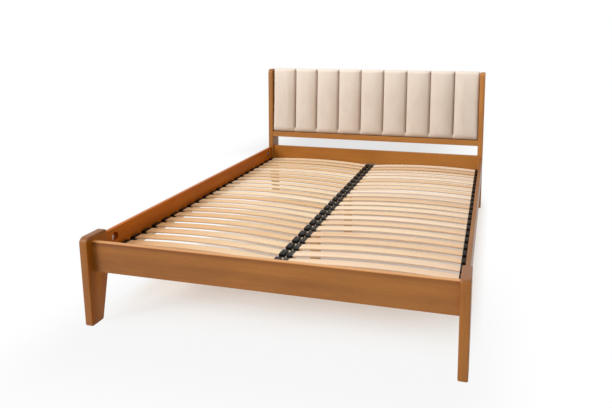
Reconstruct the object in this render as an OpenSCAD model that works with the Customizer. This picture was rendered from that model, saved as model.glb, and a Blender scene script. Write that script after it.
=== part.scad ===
// Double bed frame with tapered plank legs, a channelled upholstered headboard
// and two columns of bowed slats held in end caps.
// Millimetres, +Z up, the head of the bed towards +Y. The origin lies on the floor,
// under the middle of the frame.

/* [Mattress] */
// Width of the mattress that lies between the side rails
mattress_w = 1600; // [1200:50:1800]
// Length of the mattress
mattress_l = 2000; // [1900:10:2200]
// Gap between the mattress and each side rail
side_gap = 9; // [9:1:20]
// Gap between the mattress and each end
end_gap = 6; // [2:1:20]

/* [Rails] */
// Thickness of the side rails, the front rail and the head crossrail
rail_t = 20; // [18:1:26]
// Height of the side rails and the front rail
rail_h = 140; // [130:2:170]
// Height of the side rails' top edges above the floor
rail_top = 392; // [350:2:430]
// How far the front rail's top edge lies below the side rails' top edges
front_rail_drop = 3; // [0:1:8]
// Height of the head crossrail
crossrail_h = 160; // [150:2:190]
// How far the head crossrail's top edge rises above the side rails' top edges
crossrail_rise = 14; // [0:1:30]
// How far the head crossrail stands back from the posts' front edges
crossrail_set_back = 14; // [4:1:40]
// Radius of the rails' long arrises
arris_r = 2; // [1:0.5:4]

/* [Legs] */
// Thickness of the front legs across the bed
leg_t = 40; // [30:1:44]
// How far the front legs stand out in front of the front rail
leg_front = 33; // [10:1:50]
// Depth of a front leg at rail height, front edge to back edge
leg_d = 132; // [110:1:150]
// Depth of a front leg at the foot
leg_foot_d = 71; // [50:1:100]
// How far the front legs rise above the side rails
leg_rise = 21; // [8:1:40]
// Radius of the front legs' front top corner
leg_front_r = 27; // [10:1:40]
// Radius of the front legs' back top corner
leg_back_r = 12; // [4:1:30]

/* [Head posts] */
// Thickness of the head posts across the bed
post_t = 36; // [30:1:44]
// Depth of a head post at rail height
post_d = 122; // [110:1:150]
// Depth of a head post at the foot
post_foot_d = 73; // [50:1:100]
// Height of the head posts
post_h = 1008; // [900:4:1200]
// How far the posts' front edges lean back above the rails, in degrees
post_lean = 2.7; // [0:0.1:3.5]
// Radius of the posts' top corners
post_top_r = 26; // [6:1:36]

/* [Headboard] */
// Height of the lower headboard rail's underside above the floor
lower_rail_z = 480; // [440:2:540]
// Height of the lower headboard rail
lower_rail_h = 40; // [30:1:60]
// Depth of the lower headboard rail, front to back
lower_rail_d = 56; // [50:1:70]
// How far the lower headboard rail stands back from the posts' front edges
lower_rail_back = 3; // [0:1:10]
// How far the headboard panel leans back, in degrees
panel_lean = 4.8; // [3:0.1:5.5]
// Thickness of the plywood panel behind the padding
panel_t = 12; // [9:1:15]
// Depth of the groove that the panel stands in
groove_depth = 8; // [4:1:12]
// Height of the hidden top rail behind the panel
top_rail_h = 40; // [30:1:60]
// Thickness of the hidden top rail
top_rail_t = 18; // [12:1:20]

/* [Padding] */
// Number of upright channels
channels = 9; // [5:1:9]
// Extra width of the first and the last channel
outer_extra = 5.5; // [0:0.5:10]
// Thickness of the padding at the seams
seam_t = 21; // [14:1:24]
// How far a channel's crown stands out from its seams
crown_out = 20; // [8:1:26]
// Height of the padding above the panel's top edge
pad_over = 15; // [8:1:25]
// How far the padding stands above the posts
pad_above_post = 10; // [0:1:20]

/* [Slats] */
// Number of slat rows
slat_rows = 23; // [15:1:24]
// Width of a slat
slat_w = 53; // [38:1:56]
// Thickness of a slat
slat_t = 8; // [6:0.5:10]
// Rise of a slat's bow at its middle
slat_crown = 18; // [8:1:26]
// Height of the slats' ends, at mid thickness, above the battens that carry the caps
slat_seat = 8; // [7:0.5:12]
// Distance from the front legs' back edges to the first end cap
first_gap = 1; // [0.5:0.5:20]
// Distance from the last end cap to the head posts' front edges
last_gap = 1; // [0.5:0.5:20]

/* [End caps] */
// Length of an end cap along its slat
cap_l = 25; // [20:1:34]
// Wall of an end cap
cap_wall = 2.5; // [2:0.25:3]
// Gap between the two middle rows of caps
cap_gap = 10; // [4:1:20]
// Diameter of the peg under each cap
peg_d = 8; // [6:0.5:9]
// Length of the peg under each cap
peg_l = 12; // [8:1:18]

/* [Battens and beam] */
// Width of the battens along the side rails
batten_w = 30; // [28:1:40]
// Height of the battens
batten_h = 25; // [22:1:42]
// How far the battens' undersides lie above the side rails' bottom edges
batten_up = 15; // [4:1:24]
// Width of the middle beam
beam_w = 60; // [54:2:100]
// Height of the middle beam
beam_h = 20; // [18:1:36]
// How far the middle beam's top lies below the battens' tops
beam_drop = 9; // [0:1:12]
// Side of the square middle legs
middle_leg_w = 45; // [36:1:60]
// Thickness of the steel plates
steel_t = 2; // [1.5:0.5:3]
// Length of a beam hanger along the beam
hanger_l = 45; // [35:1:60]
// Width of each screwed wing of a beam hanger
hanger_wing = 22; // [18:1:30]
// Height of a beam hanger's back plate
hanger_h = 38; // [34:1:50]

/* [Fittings] */
// Diameter of the round bolt recesses in the side rails
recess_d = 44; // [36:1:48]
// Distance from a side rail's end to the middle of its recess
recess_in = 65; // [50:1:80]
// Depth of the recess middle below the side rail's top edge
recess_down = 42; // [36:1:50]
// Diameter of the bed bolts
bolt_d = 8; // [6:1:8]
// Diameter of the bed bolts' heads
bolt_head_d = 13; // [11:0.5:13]
// Outer diameter of the threaded inserts
insert_d = 13; // [11:0.5:15]
// Length of the threaded inserts
insert_l = 30; // [20:1:40]
// Diameter of the wooden dowels
dowel_d = 8; // [6:1:10]
// Length of the wooden dowels
dowel_l = 40; // [30:2:50]
// Shank diameter of the wood screws
screw_d = 4; // [3:0.5:5]
// Diameter of the floor glides
glide_d = 28; // [20:1:36]
// Thickness of the floor glides
glide_t = 2; // [2:0.5:6]

/* [Hidden] */
// Clearances between pieces that fit into each other
fit = 0.3;
dowel_fit = 0.1;
loose = 0.5;

// Places across the bed
inner_w = mattress_w + 2*side_gap;
rail_in = inner_w/2;
rail_out = rail_in + rail_t;
leg_in = rail_in + rail_t/2 - leg_t/2;
post_in = rail_out - post_t;

// Places along the bed, from the front rail's front face
post_y = rail_t + mattress_l + 2*end_gap;
post_back = post_y + post_d;
leg_back = leg_d - leg_front;
crossrail_y = post_y + crossrail_set_back;
mid_y = (post_back - leg_front)/2;

// Heights
knee_rise = 8;
rail_bottom = rail_top - rail_h;
front_rail_top = rail_top - front_rail_drop;
front_rail_bottom = front_rail_top - rail_h;
batten_bottom = rail_bottom + batten_up;
batten_top = batten_bottom + batten_h;
beam_top = batten_top - beam_drop;
beam_bottom = beam_top - beam_h;
crossrail_top = rail_top + crossrail_rise;
crossrail_bottom = crossrail_top - crossrail_h;
leg_top = rail_top + leg_rise;
post_knee = rail_top + knee_rise;

// Slat rows and caps
cap_d = slat_w + 2*cap_wall;
cap_h = 2*slat_seat;
cap_chamfer = 4;
first_y = leg_back + first_gap;
last_y = post_y - last_gap - cap_d;
slat_pitch = (last_y - first_y)/(slat_rows - 1);
slat_z = batten_top + slat_seat;
slat_from = cap_gap/2 + cap_wall + fit;
slat_to = rail_in - fit - cap_wall - fit;
slat_run = slat_to - slat_from;
slat_tilt = atan(beam_drop/slat_run);
half_chord = slat_run/cos(slat_tilt)/2;
bow_r = (half_chord*half_chord + slat_crown*slat_crown)/(2*slat_crown);
bow_x = (slat_from + slat_to)/2 + (bow_r - slat_crown)*sin(slat_tilt);
bow_z = slat_z - beam_drop/2 - (bow_r - slat_crown)*cos(slat_tilt);
peg_hole_l = peg_l + 2;
outer_peg_x = rail_in - fit - cap_l/2;
inner_peg_x = cap_gap/2 + cap_l/2;

// Headboard: u runs back from the padding's side, v runs up along the lean
panel_u = 33;
panel_foot = lower_rail_h - groove_depth + fit;
pad_top_z = post_h + pad_above_post;
pad_top = (pad_top_z - lower_rail_z)/cos(panel_lean);
panel_top = pad_top - pad_over;
top_rail_down = 4;
top_rail_foot = panel_top - top_rail_down - top_rail_h;
headboard_y = post_y + (lower_rail_z - post_knee)*tan(post_lean) + lower_rail_back;
board_w = 2*(post_in - loose);
pad_w = 2*(post_in - loose);
channel_w = (pad_w - 2*outer_extra)/channels;
pad_fade = 46;
pad_round = 16;
pad_swell = 1.5;
steps = 8;

// Fittings
bolt_in = 8.5;
bolt_z = rail_top - recess_down;
recess_depth = bolt_in + bolt_head_d/2 + loose;
washer_chord = 8;
washer_back = recess_in - recess_d/2 + fit + washer_chord;
bolt_head_l = 8;
bolt_socket_d = 0.75*bolt_d;
bolt_reach = 44;
screw_head_d = 2*screw_d;
screw_head_l = 2.5;

// Shares of the beam's length at which its legs stand
middle_leg_share = [1/3, 2/3];

// Share of a board's thickness that a screw enters
screw_bite = 0.7;

// Screws: how many, how far from the ends, and how high as a share of the board
batten_screw_count = 8;
batten_screw_end = 120;
batten_screw_up = 0.28;
panel_screw_count = 7;
panel_screw_end = 80;
panel_screw_tip = panel_t + top_rail_t*screw_bite;
hanger_screw_up = [0.25, 0.75];
hanger_short = 2;

// Plates and screws of the middle legs
plate_over = 25;
plate_l = middle_leg_w + 2*plate_over;
plate_screw_end = 12;
leg_screw_l = 36;

// Dowels, placed at shares of the height or depth of the rail that they hold
side_dowel_at = [0.18, 0.42];
rail_dowel_at = [0.2, 0.5, 0.8];
board_dowel_at = [0.25, 0.75];
lower_dowel_up = 0.45;
side_dowel_z = [for (s = side_dowel_at) rail_bottom + s*rail_h];
front_dowel_z = [for (s = rail_dowel_at) front_rail_bottom + s*rail_h];
cross_dowel_z = [for (s = rail_dowel_at) crossrail_bottom + s*crossrail_h];

left = -1;
right = 1;

function slat_name(i) = str("slat_pair_", i < 10 ? "0" : "", i);

// Colours
wood = [0.62, 0.40, 0.22];
birch = [0.94, 0.82, 0.64];
plywood = [0.80, 0.66, 0.46];
cloth = [0.86, 0.79, 0.71];
black = [0.10, 0.10, 0.11];
steel = [0.70, 0.70, 0.72];
$fn = 48;

// Moves a piece from the front rail's face to the origin under the frame's middle
module placed() {
    translate([0, -mid_y, 0]) children();
}

// Puts a piece drawn for the right side on either side
module on_side(side) {
    if (side == right) children();
    else mirror([1, 0, 0]) children();
}

// Extrudes a side view, drawn as [along the bed, up], over x from..to
module across(from, to) {
    translate([from, 0, 0]) rotate([90, 0, 90]) linear_extrude(to - from) children();
}

// A board's section with round arrises, from [0, 0] to [w, h]
module rounded_section(w, h, r) {
    translate([r, 0]) square([w - 2*r, h]);
    translate([0, r]) square([w, h - 2*r]);
    for (x = [r, w - r], y = [r, h - r])
        translate([x, y]) circle(r);
}

// What a round corner leaves off: the corner is at the origin, the shape towards -x, -y
module corner_off(r) {
    difference() {
        translate([-r, -r]) square(r + 1);
        translate([-r, -r]) circle(r);
    }
}

// A cylinder between two heights along an axis: "x", "y" or "z"
module rod(axis, d, from, to) {
    turn = axis == "x" ? [0, 90, 0] : axis == "y" ? [-90, 0, 0] : [0, 0, 0];
    rotate(turn) translate([0, 0, from]) cylinder(d = d, h = to - from);
}

// A wood screw along an axis, with its head from 0 to head length and its point at length
module wood_screw(axis, length, way) {
    low = way > 0 ? 0 : -screw_head_l;
    high = way > 0 ? screw_head_l : 0;
    rod(axis, screw_head_d, low, high);
    rod(axis, screw_d, way > 0 ? 0 : -length, way > 0 ? length : 0);
}

// Front leg

module leg_outline() {
    difference() {
        polygon([
            [-leg_front, glide_t],
            [-leg_front + leg_foot_d, glide_t],
            [leg_back, front_rail_bottom],
            [leg_back, leg_top],
            [-leg_front, leg_top]
        ]);
        translate([leg_back, leg_top]) corner_off(leg_back_r);
        translate([-leg_front, leg_top]) mirror([1, 0]) corner_off(leg_front_r);
    }
}

module front_leg(side) {
    color(wood) on_side(side) difference() {
        across(leg_in, leg_in + leg_t) leg_outline();
        // threaded insert, bolt point and dowels of the side rail
        translate([rail_in + bolt_in, leg_back, bolt_z]) {
            rod("y", insert_d + 2*dowel_fit, -insert_l - loose, 1);
            rod("y", bolt_d + 2*fit, -bolt_reach - 1, 1);
        }
        for (z = side_dowel_z)
            translate([rail_in + rail_t/2, leg_back, z])
                rod("y", dowel_d + 2*dowel_fit, -dowel_l/2 - loose, 1);
        // dowels of the front rail
        for (z = front_dowel_z)
            translate([leg_in, rail_t/2, z])
                rod("x", dowel_d + 2*dowel_fit, -1, dowel_l/2 + loose);
    }
}

// Front rail

module front_rail() {
    color(wood) difference() {
        across(-leg_in, leg_in)
            translate([0, front_rail_bottom]) rounded_section(rail_t, rail_h, arris_r);
        for (side = [left, right], z = front_dowel_z)
            on_side(side) translate([leg_in, rail_t/2, z])
                rod("x", dowel_d + 2*dowel_fit, -dowel_l/2 - loose, 1);
        hanger_screw_holes(rail_t, 1);
    }
}

// Side rail

module side_rail(side) {
    color(wood) on_side(side) difference() {
        translate([0, post_y, 0]) rotate([90, 0, 0]) linear_extrude(post_y - leg_back)
            translate([rail_in, rail_bottom]) rounded_section(rail_t, rail_h, arris_r);
        for (end = [[leg_back, 1], [post_y, -1]]) {
            translate([rail_in, end[0] + end[1]*recess_in, bolt_z])
                rod("x", recess_d, -1, recess_depth);
            translate([rail_in + bolt_in, end[0], bolt_z])
                rod("y", bolt_d + 2*fit, end[1] > 0 ? -1 : -recess_in, end[1] > 0 ? recess_in : 1);
            for (z = side_dowel_z)
                translate([rail_in + rail_t/2, end[0], z])
                    rod("y", dowel_d + 2*dowel_fit,
                        end[1] > 0 ? -1 : -dowel_l/2 - loose, end[1] > 0 ? dowel_l/2 + loose : 1);
        }
        batten_screw_holes(rail_in - 1, rail_in + rail_t*screw_bite + loose);
    }
}

// Head post, which carries on down as the rear leg

module post_outline() {
    lean = (post_h - post_knee)*tan(post_lean);
    difference() {
        polygon([
            [post_back - post_foot_d, glide_t],
            [post_back, glide_t],
            [post_back, post_h],
            [post_y + lean, post_h],
            [post_y, post_knee],
            [post_y, rail_bottom]
        ]);
        translate([post_back, post_h]) corner_off(post_top_r/2);
        translate([post_y + lean, post_h]) rotate(-post_lean) mirror([1, 0]) corner_off(post_top_r);
    }
}

module head_post(side) {
    color(wood) on_side(side) difference() {
        across(post_in, post_in + post_t) post_outline();
        translate([rail_in + bolt_in, post_y, bolt_z]) {
            rod("y", insert_d + 2*dowel_fit, -1, insert_l + loose);
            rod("y", bolt_d + 2*fit, -1, bolt_reach + 1);
        }
        for (z = side_dowel_z)
            translate([rail_in + rail_t/2, post_y, z])
                rod("y", dowel_d + 2*dowel_fit, -1, dowel_l/2 + loose);
        headboard_dowel_set(dowel_d + 2*dowel_fit, -1, dowel_l/2 + loose);
    }
}

// Dowels between the posts and the crossrail, the lower rail and the top rail,
// drawn on the right side from x = post_in + from to post_in + to
module headboard_dowel_set(d, from, to) {
    for (z = cross_dowel_z)
        translate([post_in, crossrail_y + rail_t/2, z]) rod("x", d, from, to);
    headboard_frame() {
        for (u = board_dowel_at)
            translate([post_in, u*lower_rail_d, lower_dowel_up*lower_rail_h])
                rod("x", d, from, to);
        for (v = board_dowel_at)
            translate([post_in, panel_u + panel_t + top_rail_t/2, top_rail_foot + v*top_rail_h])
                rod("x", d, from, to);
    }
}

// The headboard's own frame: y runs back from its front face, z up along its lean
module headboard_frame() {
    translate([0, headboard_y, lower_rail_z]) rotate([-panel_lean, 0, 0]) children();
}

module head_crossrail() {
    color(wood) difference() {
        across(-post_in, post_in)
            translate([crossrail_y, crossrail_bottom])
                rounded_section(rail_t, crossrail_h, arris_r);
        for (side = [left, right])
            on_side(side) headboard_dowel_set(dowel_d + 2*dowel_fit, -dowel_l/2 - loose, 1);
        hanger_screw_holes(crossrail_y, -1);
    }
}

module headboard_lower_rail() {
    color(wood) difference() {
        headboard_frame() difference() {
            across(-post_in, post_in) rounded_section(lower_rail_d, lower_rail_h, arris_r);
            // groove for the panel
            across(-post_in - 1, post_in + 1)
                translate([panel_u - fit, lower_rail_h - groove_depth])
                    square([panel_t + 2*fit, groove_depth + 1]);
        }
        for (side = [left, right])
            on_side(side) headboard_dowel_set(dowel_d + 2*dowel_fit, -dowel_l/2 - loose, 1);
    }
}

module headboard_top_rail() {
    color(plywood) difference() {
        headboard_frame() across(-post_in, post_in)
            translate([panel_u + panel_t, top_rail_foot])
                rounded_section(top_rail_t, top_rail_h, arris_r);
        for (side = [left, right])
            on_side(side) headboard_dowel_set(dowel_d + 2*dowel_fit, -dowel_l/2 - loose, 1);
        panel_screw_set(screw_d + 2*fit, 0, panel_screw_tip + loose, screw_d + 2*fit);
    }
}

module headboard_panel() {
    color(plywood) difference() {
        headboard_frame() across(-board_w/2, board_w/2)
            translate([panel_u, panel_foot]) square([panel_t, panel_top - panel_foot]);
        panel_screw_set(screw_d + 2*fit, -1, panel_t + 1, screw_head_d + 2*fit);
    }
}

// Screws, or their holes, from the panel's front face back into the top rail
module panel_screw_set(shank, from, to, head) {
    headboard_frame() for (i = [0:panel_screw_count - 1]) {
        x = (i/(panel_screw_count - 1) - 0.5)*(board_w - 2*panel_screw_end);
        translate([x, panel_u, top_rail_foot + top_rail_h/2]) {
            rod("y", shank, from, to);
            rod("y", head, from, screw_head_l);
        }
    }
}

module panel_screws() {
    color(steel) panel_screw_set(screw_d, fit, panel_screw_tip, screw_head_d);
}

// Headboard padding: a side view that changes from seam to crown across each channel

// How full the padding is at x: 0 at a seam or an end, 1 on a channel's crown
function fullness(s) = sqrt(1 - pow(abs(s), 2.4));

// Places across one channel, denser near its seams, from -1 to 1
function channel_s(i) = sin((i/steps*2 - 1)*90);

// x of the padding's columns, with how full it is there
function pad_columns() = concat(
    [for (c = [0:channels - 1]) for (i = [0:steps - 1]) let (
        extra_left = c == 0 ? outer_extra : 0,
        extra_right = c == channels - 1 ? outer_extra : 0,
        from = -pad_w/2 + (c == 0 ? 0 : outer_extra) + c*channel_w,
        wide = channel_w + extra_left + extra_right,
        s = channel_s(i)
    ) [from + wide*(s + 1)/2, fullness(s)]],
    [[pad_w/2, 0]]
);

// The closed side view [u, v] at one column. A seam is deep along the face and fades
// out over the last pad_fade above the padding's foot, where the face is nearly flat.
function pad_side(full) = let (
    front = panel_u - fit - seam_t - crown_out*full,
    face = panel_u - fit - seam_t - crown_out*(1 + full)/2,
    foot = lower_rail_h + fit,
    top = pad_top - (1 - full)*pad_round/4,
    back = panel_u - fit,
    behind = panel_u + panel_t
) [
    [back, foot],
    [face + pad_round, foot],
    [face + 0.3*pad_round, foot + 0.3*pad_round],
    [(face + front)/2, foot + 0.4*pad_fade],
    [front, foot + pad_fade],
    [front - pad_swell*full, (foot + top)/2],
    [front, top - pad_fade],
    [front + 0.25*pad_round, top - 0.45*pad_fade],
    [front + 0.75*pad_round, top - 0.15*pad_fade],
    [front + 1.5*pad_round, top],
    [behind - 0.6*panel_t, top + 0.5],
    [behind - 1, top - 3],
    [behind, panel_top + fit],
    [back, panel_top + fit]
];

module headboard_pad() {
    columns = pad_columns();
    rings = [for (c = columns) [for (p = pad_side(c[1])) [c[0], p[0], p[1]]]];
    n = len(rings[0]);
    m = len(rings);
    points = [for (r = rings) for (p = r) p];
    walls = [for (i = [0:m - 2]) for (j = [0:n - 1]) let (
        a = i*n + j,
        b = i*n + (j + 1)%n,
        c = a + n,
        d = b + n
    ) each [[a, c, b], [b, c, d]]];
    // the two ends as fans from the corner that sees every other point
    corner = n - 1;
    start = [for (j = [0:n - 3]) [corner, j, j + 1]];
    end = [for (j = [0:n - 3]) [(m - 1)*n + corner, (m - 1)*n + j + 1, (m - 1)*n + j]];
    color(cloth) headboard_frame()
        polyhedron(points = points, faces = concat(walls, start, end), convexity = 6);
}

// Battens that carry the outer caps

module slat_batten(side) {
    color(birch) on_side(side) difference() {
        translate([rail_in - batten_w, leg_back + loose, batten_bottom])
            cube([batten_w, post_y - leg_back - 2*loose, batten_h]);
        peg_holes(outer_peg_x, batten_top);
        batten_screw_holes(rail_in - batten_w - 1, rail_in + 1);
        batten_head_holes();
    }
}

batten_screw_z = batten_bottom + batten_h*batten_screw_up;
batten_screw_run = post_y - leg_back - 2*batten_screw_end;
batten_screw_y = [for (i = [0:batten_screw_count - 1])
    leg_back + batten_screw_end + i*batten_screw_run/(batten_screw_count - 1)];

module batten_screw_holes(from, to) {
    for (y = batten_screw_y)
        translate([0, y, batten_screw_z]) rod("x", screw_d + 2*fit, from, to);
}

module batten_head_holes() {
    for (y = batten_screw_y)
        translate([rail_in - batten_w, y, batten_screw_z])
            rod("x", screw_head_d + 2*fit, -1, screw_head_l + 2*fit);
}

module batten_screws() {
    color(steel) for (side = [left, right], y = batten_screw_y)
        on_side(side) translate([rail_in - batten_w + fit, y, batten_screw_z])
            wood_screw("x", batten_w - fit + rail_t*screw_bite, 1);
}

// Middle beam, its hangers and its legs

beam_from = rail_t + steel_t + fit;
beam_to = crossrail_y - steel_t - fit;
middle_leg_y = [for (s = middle_leg_share) beam_from + s*(beam_to - beam_from)];

module middle_beam() {
    color(birch) difference() {
        translate([-beam_w/2, beam_from, beam_bottom])
            cube([beam_w, beam_to - beam_from, beam_h]);
        for (side = [left, right]) on_side(side) peg_holes(inner_peg_x, beam_top);
        plate_screw_holes();
    }
}

// A hanger drawn at the front rail: back plate with two wings, two cheeks and a seat
module beam_hanger(at, way) {
    wide = beam_w + 2*fit;
    color(steel) translate([0, at, beam_bottom - steel_t]) facing(way) difference() {
        union() {
            translate([-wide/2 - steel_t - hanger_wing, 0, 0])
                cube([wide + 2*steel_t + 2*hanger_wing, steel_t, hanger_h]);
            translate([-wide/2 - steel_t, 0, 0])
                cube([wide + 2*steel_t, hanger_l, steel_t]);
            for (x = [-wide/2 - steel_t, wide/2])
                translate([x, 0, 0]) cube([steel_t, hanger_l, beam_h - hanger_short]);
        }
        for (x = hanger_screw_x, z = hanger_screw_z)
            translate([x, 0, z - beam_bottom + steel_t])
                rod("y", screw_d + 2*fit, -1, steel_t + 1);
    }
}

// Turns a piece round for the other end of the bed
module facing(way) {
    if (way > 0) children();
    else mirror([0, 1, 0]) children();
}

hanger_screw_out = beam_w/2 + fit + steel_t + hanger_wing/2;
hanger_screw_x = [-hanger_screw_out, hanger_screw_out];
hanger_screw_z = [for (s = hanger_screw_up) beam_bottom - steel_t + s*hanger_h];
hanger_screw_l = screw_head_l + steel_t + rail_t*screw_bite;

module hanger_screw_holes(at, way) {
    deep = rail_t*screw_bite + loose;
    for (x = hanger_screw_x, z = hanger_screw_z)
        translate([x, at, z])
            rod("y", screw_d + 2*fit, way > 0 ? -deep : -1, way > 0 ? 1 : deep);
}

module hanger_screws() {
    color(steel) for (x = hanger_screw_x, z = hanger_screw_z) {
        translate([x, rail_t + steel_t + screw_head_l, z]) wood_screw("y", hanger_screw_l, -1);
        translate([x, crossrail_y - steel_t - screw_head_l, z])
            wood_screw("y", hanger_screw_l, 1);
    }
}

module middle_leg(at) {
    color(birch) difference() {
        translate([-middle_leg_w/2, at - middle_leg_w/2, glide_t])
            cube([middle_leg_w, middle_leg_w, beam_bottom - steel_t - glide_t]);
        translate([0, at, beam_bottom]) rod("z", screw_d + 2*fit, -leg_screw_l - loose, 0);
    }
}

module middle_leg_plates() {
    color(steel) difference() {
        for (y = middle_leg_y)
            translate([-middle_leg_w/2, y - plate_l/2, beam_bottom - steel_t])
                cube([middle_leg_w, plate_l, steel_t]);
        plate_screw_holes();
    }
}

// At each leg one screw goes down through the plate into the leg, its head sunk into the
// beam, and two go up through the plate into the beam
plate_screw_y = [for (y = middle_leg_y, way = [-1, 1]) y + way*(plate_l/2 - plate_screw_end)];

module plate_screw_holes() {
    for (y = plate_screw_y)
        translate([0, y, beam_bottom])
            rod("z", screw_d + 2*fit, -steel_t - 1, beam_h*screw_bite + loose);
    for (y = middle_leg_y)
        translate([0, y, beam_bottom]) {
            rod("z", screw_d + 2*fit, -steel_t - 1, 1);
            rod("z", screw_head_d + 2*fit, 0, screw_head_l + fit);
        }
}

module middle_leg_screws() {
    color(steel) {
        for (y = plate_screw_y)
            translate([0, y, beam_bottom - steel_t - screw_head_l])
                wood_screw("z", screw_head_l + steel_t + beam_h*screw_bite, 1);
        for (y = middle_leg_y)
            translate([0, y, beam_bottom + screw_head_l])
                wood_screw("z", leg_screw_l + screw_head_l, -1);
    }
}

// Slats and end caps

// One slat's front view: a bowed strip between two arcs, out to the given clearance. Its
// chord rises outwards, from the lower middle beam to the batten.
module slat_arc(grow, from, to) {
    intersection() {
        difference() {
            translate([bow_x, bow_z]) circle(bow_r + slat_t/2 + grow, $fn = 720);
            translate([bow_x, bow_z]) circle(bow_r - slat_t/2 - grow, $fn = 720);
        }
        translate([from, slat_z - beam_drop - 3*slat_t])
            square([to - from, beam_drop + slat_crown + 6*slat_t]);
    }
}

function row_y(i) = first_y + (i - 1)*slat_pitch;

module slat_pair(i) {
    color(birch) for (side = [left, right])
        on_side(side) translate([0, row_y(i) + cap_wall + slat_w - fit, 0]) rotate([90, 0, 0])
            linear_extrude(slat_w - 2*fit) slat_arc(0, slat_from, slat_to);
}

module peg_holes(x, z) {
    for (i = [1:slat_rows])
        translate([x, row_y(i) + cap_d/2, z])
            rod("z", peg_d + 2*fit, -peg_hole_l, 1);
}

module cap_outline() {
    polygon([
        [0, 0],
        [cap_d, 0],
        [cap_d, cap_h - cap_chamfer],
        [cap_d - cap_chamfer, cap_h],
        [cap_chamfer, cap_h],
        [0, cap_h - cap_chamfer]
    ]);
}

// A row of caps on the right side, over x = from..from + cap_l, on wood at height z
module cap_row(from, z) {
    for (i = [1:slat_rows]) {
        difference() {
            translate([from, row_y(i), z]) rotate([90, 0, 90])
                linear_extrude(cap_l) cap_outline();
            translate([0, row_y(i) + cap_wall + slat_w, 0]) rotate([90, 0, 0])
                linear_extrude(slat_w) slat_arc(fit, slat_from - fit, slat_to + fit);
        }
        translate([from + cap_l/2, row_y(i) + cap_d/2, z])
            rod("z", peg_d, -peg_l, 0.5);
    }
}

module side_caps(side) {
    color(black) on_side(side) cap_row(rail_in - fit - cap_l, batten_top);
}

module middle_caps(side) {
    color(black) on_side(side) cap_row(cap_gap/2, beam_top);
}

// Fittings of the side rails

// Runs its children at the four rail ends, turned so that +y leads from the leg into the rail
module at_rail_ends() {
    for (side = [left, right]) on_side(side) {
        translate([rail_in + bolt_in, leg_back, bolt_z]) children();
        translate([rail_in + bolt_in, post_y, bolt_z]) mirror([0, 1, 0]) children();
    }
}

module bed_bolts() {
    color(steel) at_rail_ends() {
        rod("y", bolt_d, -bolt_reach, washer_back + 1);
        difference() {
            rod("y", bolt_head_d, washer_back, washer_back + bolt_head_l);
            rod("y", bolt_socket_d, washer_back + bolt_head_l/2, washer_back + bolt_head_l + 1);
        }
    }
}

// Half-moon washers that fill the front of the recess and give the bolt head a flat seat
module half_moon_washers() {
    thick = recess_depth - 2*loose;
    color(steel) at_rail_ends() difference() {
        translate([-bolt_in + loose, recess_in, 0]) rotate([0, 90, 0])
            linear_extrude(thick) intersection() {
                circle(recess_d/2 - fit);
                translate([-recess_d, -recess_d]) square([2*recess_d, recess_d - recess_in + washer_back]);
            }
        rod("y", bolt_d + 2*fit, 0, recess_in);
    }
}

module threaded_inserts() {
    color(steel) at_rail_ends() difference() {
        rod("y", insert_d, -insert_l, -loose);
        rod("y", bolt_d + 2*dowel_fit, -insert_l - 1, 1);
    }
}

module side_rail_dowels() {
    color(birch) for (side = [left, right], y = [leg_back, post_y], z = side_dowel_z)
        on_side(side) translate([rail_in + rail_t/2, y, z])
            rod("y", dowel_d, -dowel_l/2, dowel_l/2);
}

module front_rail_dowels() {
    color(birch) for (side = [left, right], z = front_dowel_z)
        on_side(side) translate([leg_in, rail_t/2, z])
            rod("x", dowel_d, -dowel_l/2, dowel_l/2);
}

module headboard_dowels() {
    color(birch) for (side = [left, right])
        on_side(side) headboard_dowel_set(dowel_d, -dowel_l/2, dowel_l/2);
}

module floor_glides() {
    color(black) {
        for (side = [left, right]) on_side(side) {
            translate([leg_in + leg_t/2, leg_foot_d/2 - leg_front, 0])
                cylinder(d = glide_d, h = glide_t);
            translate([post_in + post_t/2, post_back - post_foot_d/2, 0])
                cylinder(d = glide_d, h = glide_t);
        }
        for (y = middle_leg_y) translate([0, y, 0]) cylinder(d = glide_d, h = glide_t);
    }
}

placed() front_leg(left);  // front_leg_left
placed() front_leg(right);  // front_leg_right
placed() front_rail();
placed() side_rail(left);  // side_rail_left
placed() side_rail(right);  // side_rail_right
placed() head_post(left);  // head_post_left
placed() head_post(right);  // head_post_right
placed() head_crossrail();
placed() headboard_lower_rail();
placed() headboard_top_rail();
placed() headboard_panel();
placed() headboard_pad();
placed() slat_batten(left);  // slat_batten_left
placed() slat_batten(right);  // slat_batten_right
placed() middle_beam();
placed() middle_leg(middle_leg_y[0]);  // middle_leg_front
placed() middle_leg(middle_leg_y[1]);  // middle_leg_head
placed() middle_leg_plates();
placed() beam_hanger(rail_t, 1);  // beam_hanger_front
placed() beam_hanger(crossrail_y, -1);  // beam_hanger_head
for (i = [1:slat_rows])
    placed() slat_pair(i);
placed() side_caps(left);  // side_caps_left
placed() side_caps(right);  // side_caps_right
placed() middle_caps(left);  // middle_caps_left
placed() middle_caps(right);  // middle_caps_right
placed() bed_bolts();
placed() half_moon_washers();
placed() threaded_inserts();
placed() side_rail_dowels();
placed() front_rail_dowels();
placed() headboard_dowels();
placed() batten_screws();
placed() hanger_screws();
placed() middle_leg_screws();
placed() panel_screws();
placed() floor_glides();
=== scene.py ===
# %% [markdown]
# # A double bed with a channelled headboard
# This lesson dresses a finished CAD model of a bed frame in Blender. The model comes in as
# fixed nodes, in metres, at its real place. Some nodes keep their shape and only get a
# finish. Others are modelled again with the softer edges that sanding, moulding and
# upholstery give, and then stand in for their node.

import math
import random

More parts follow.
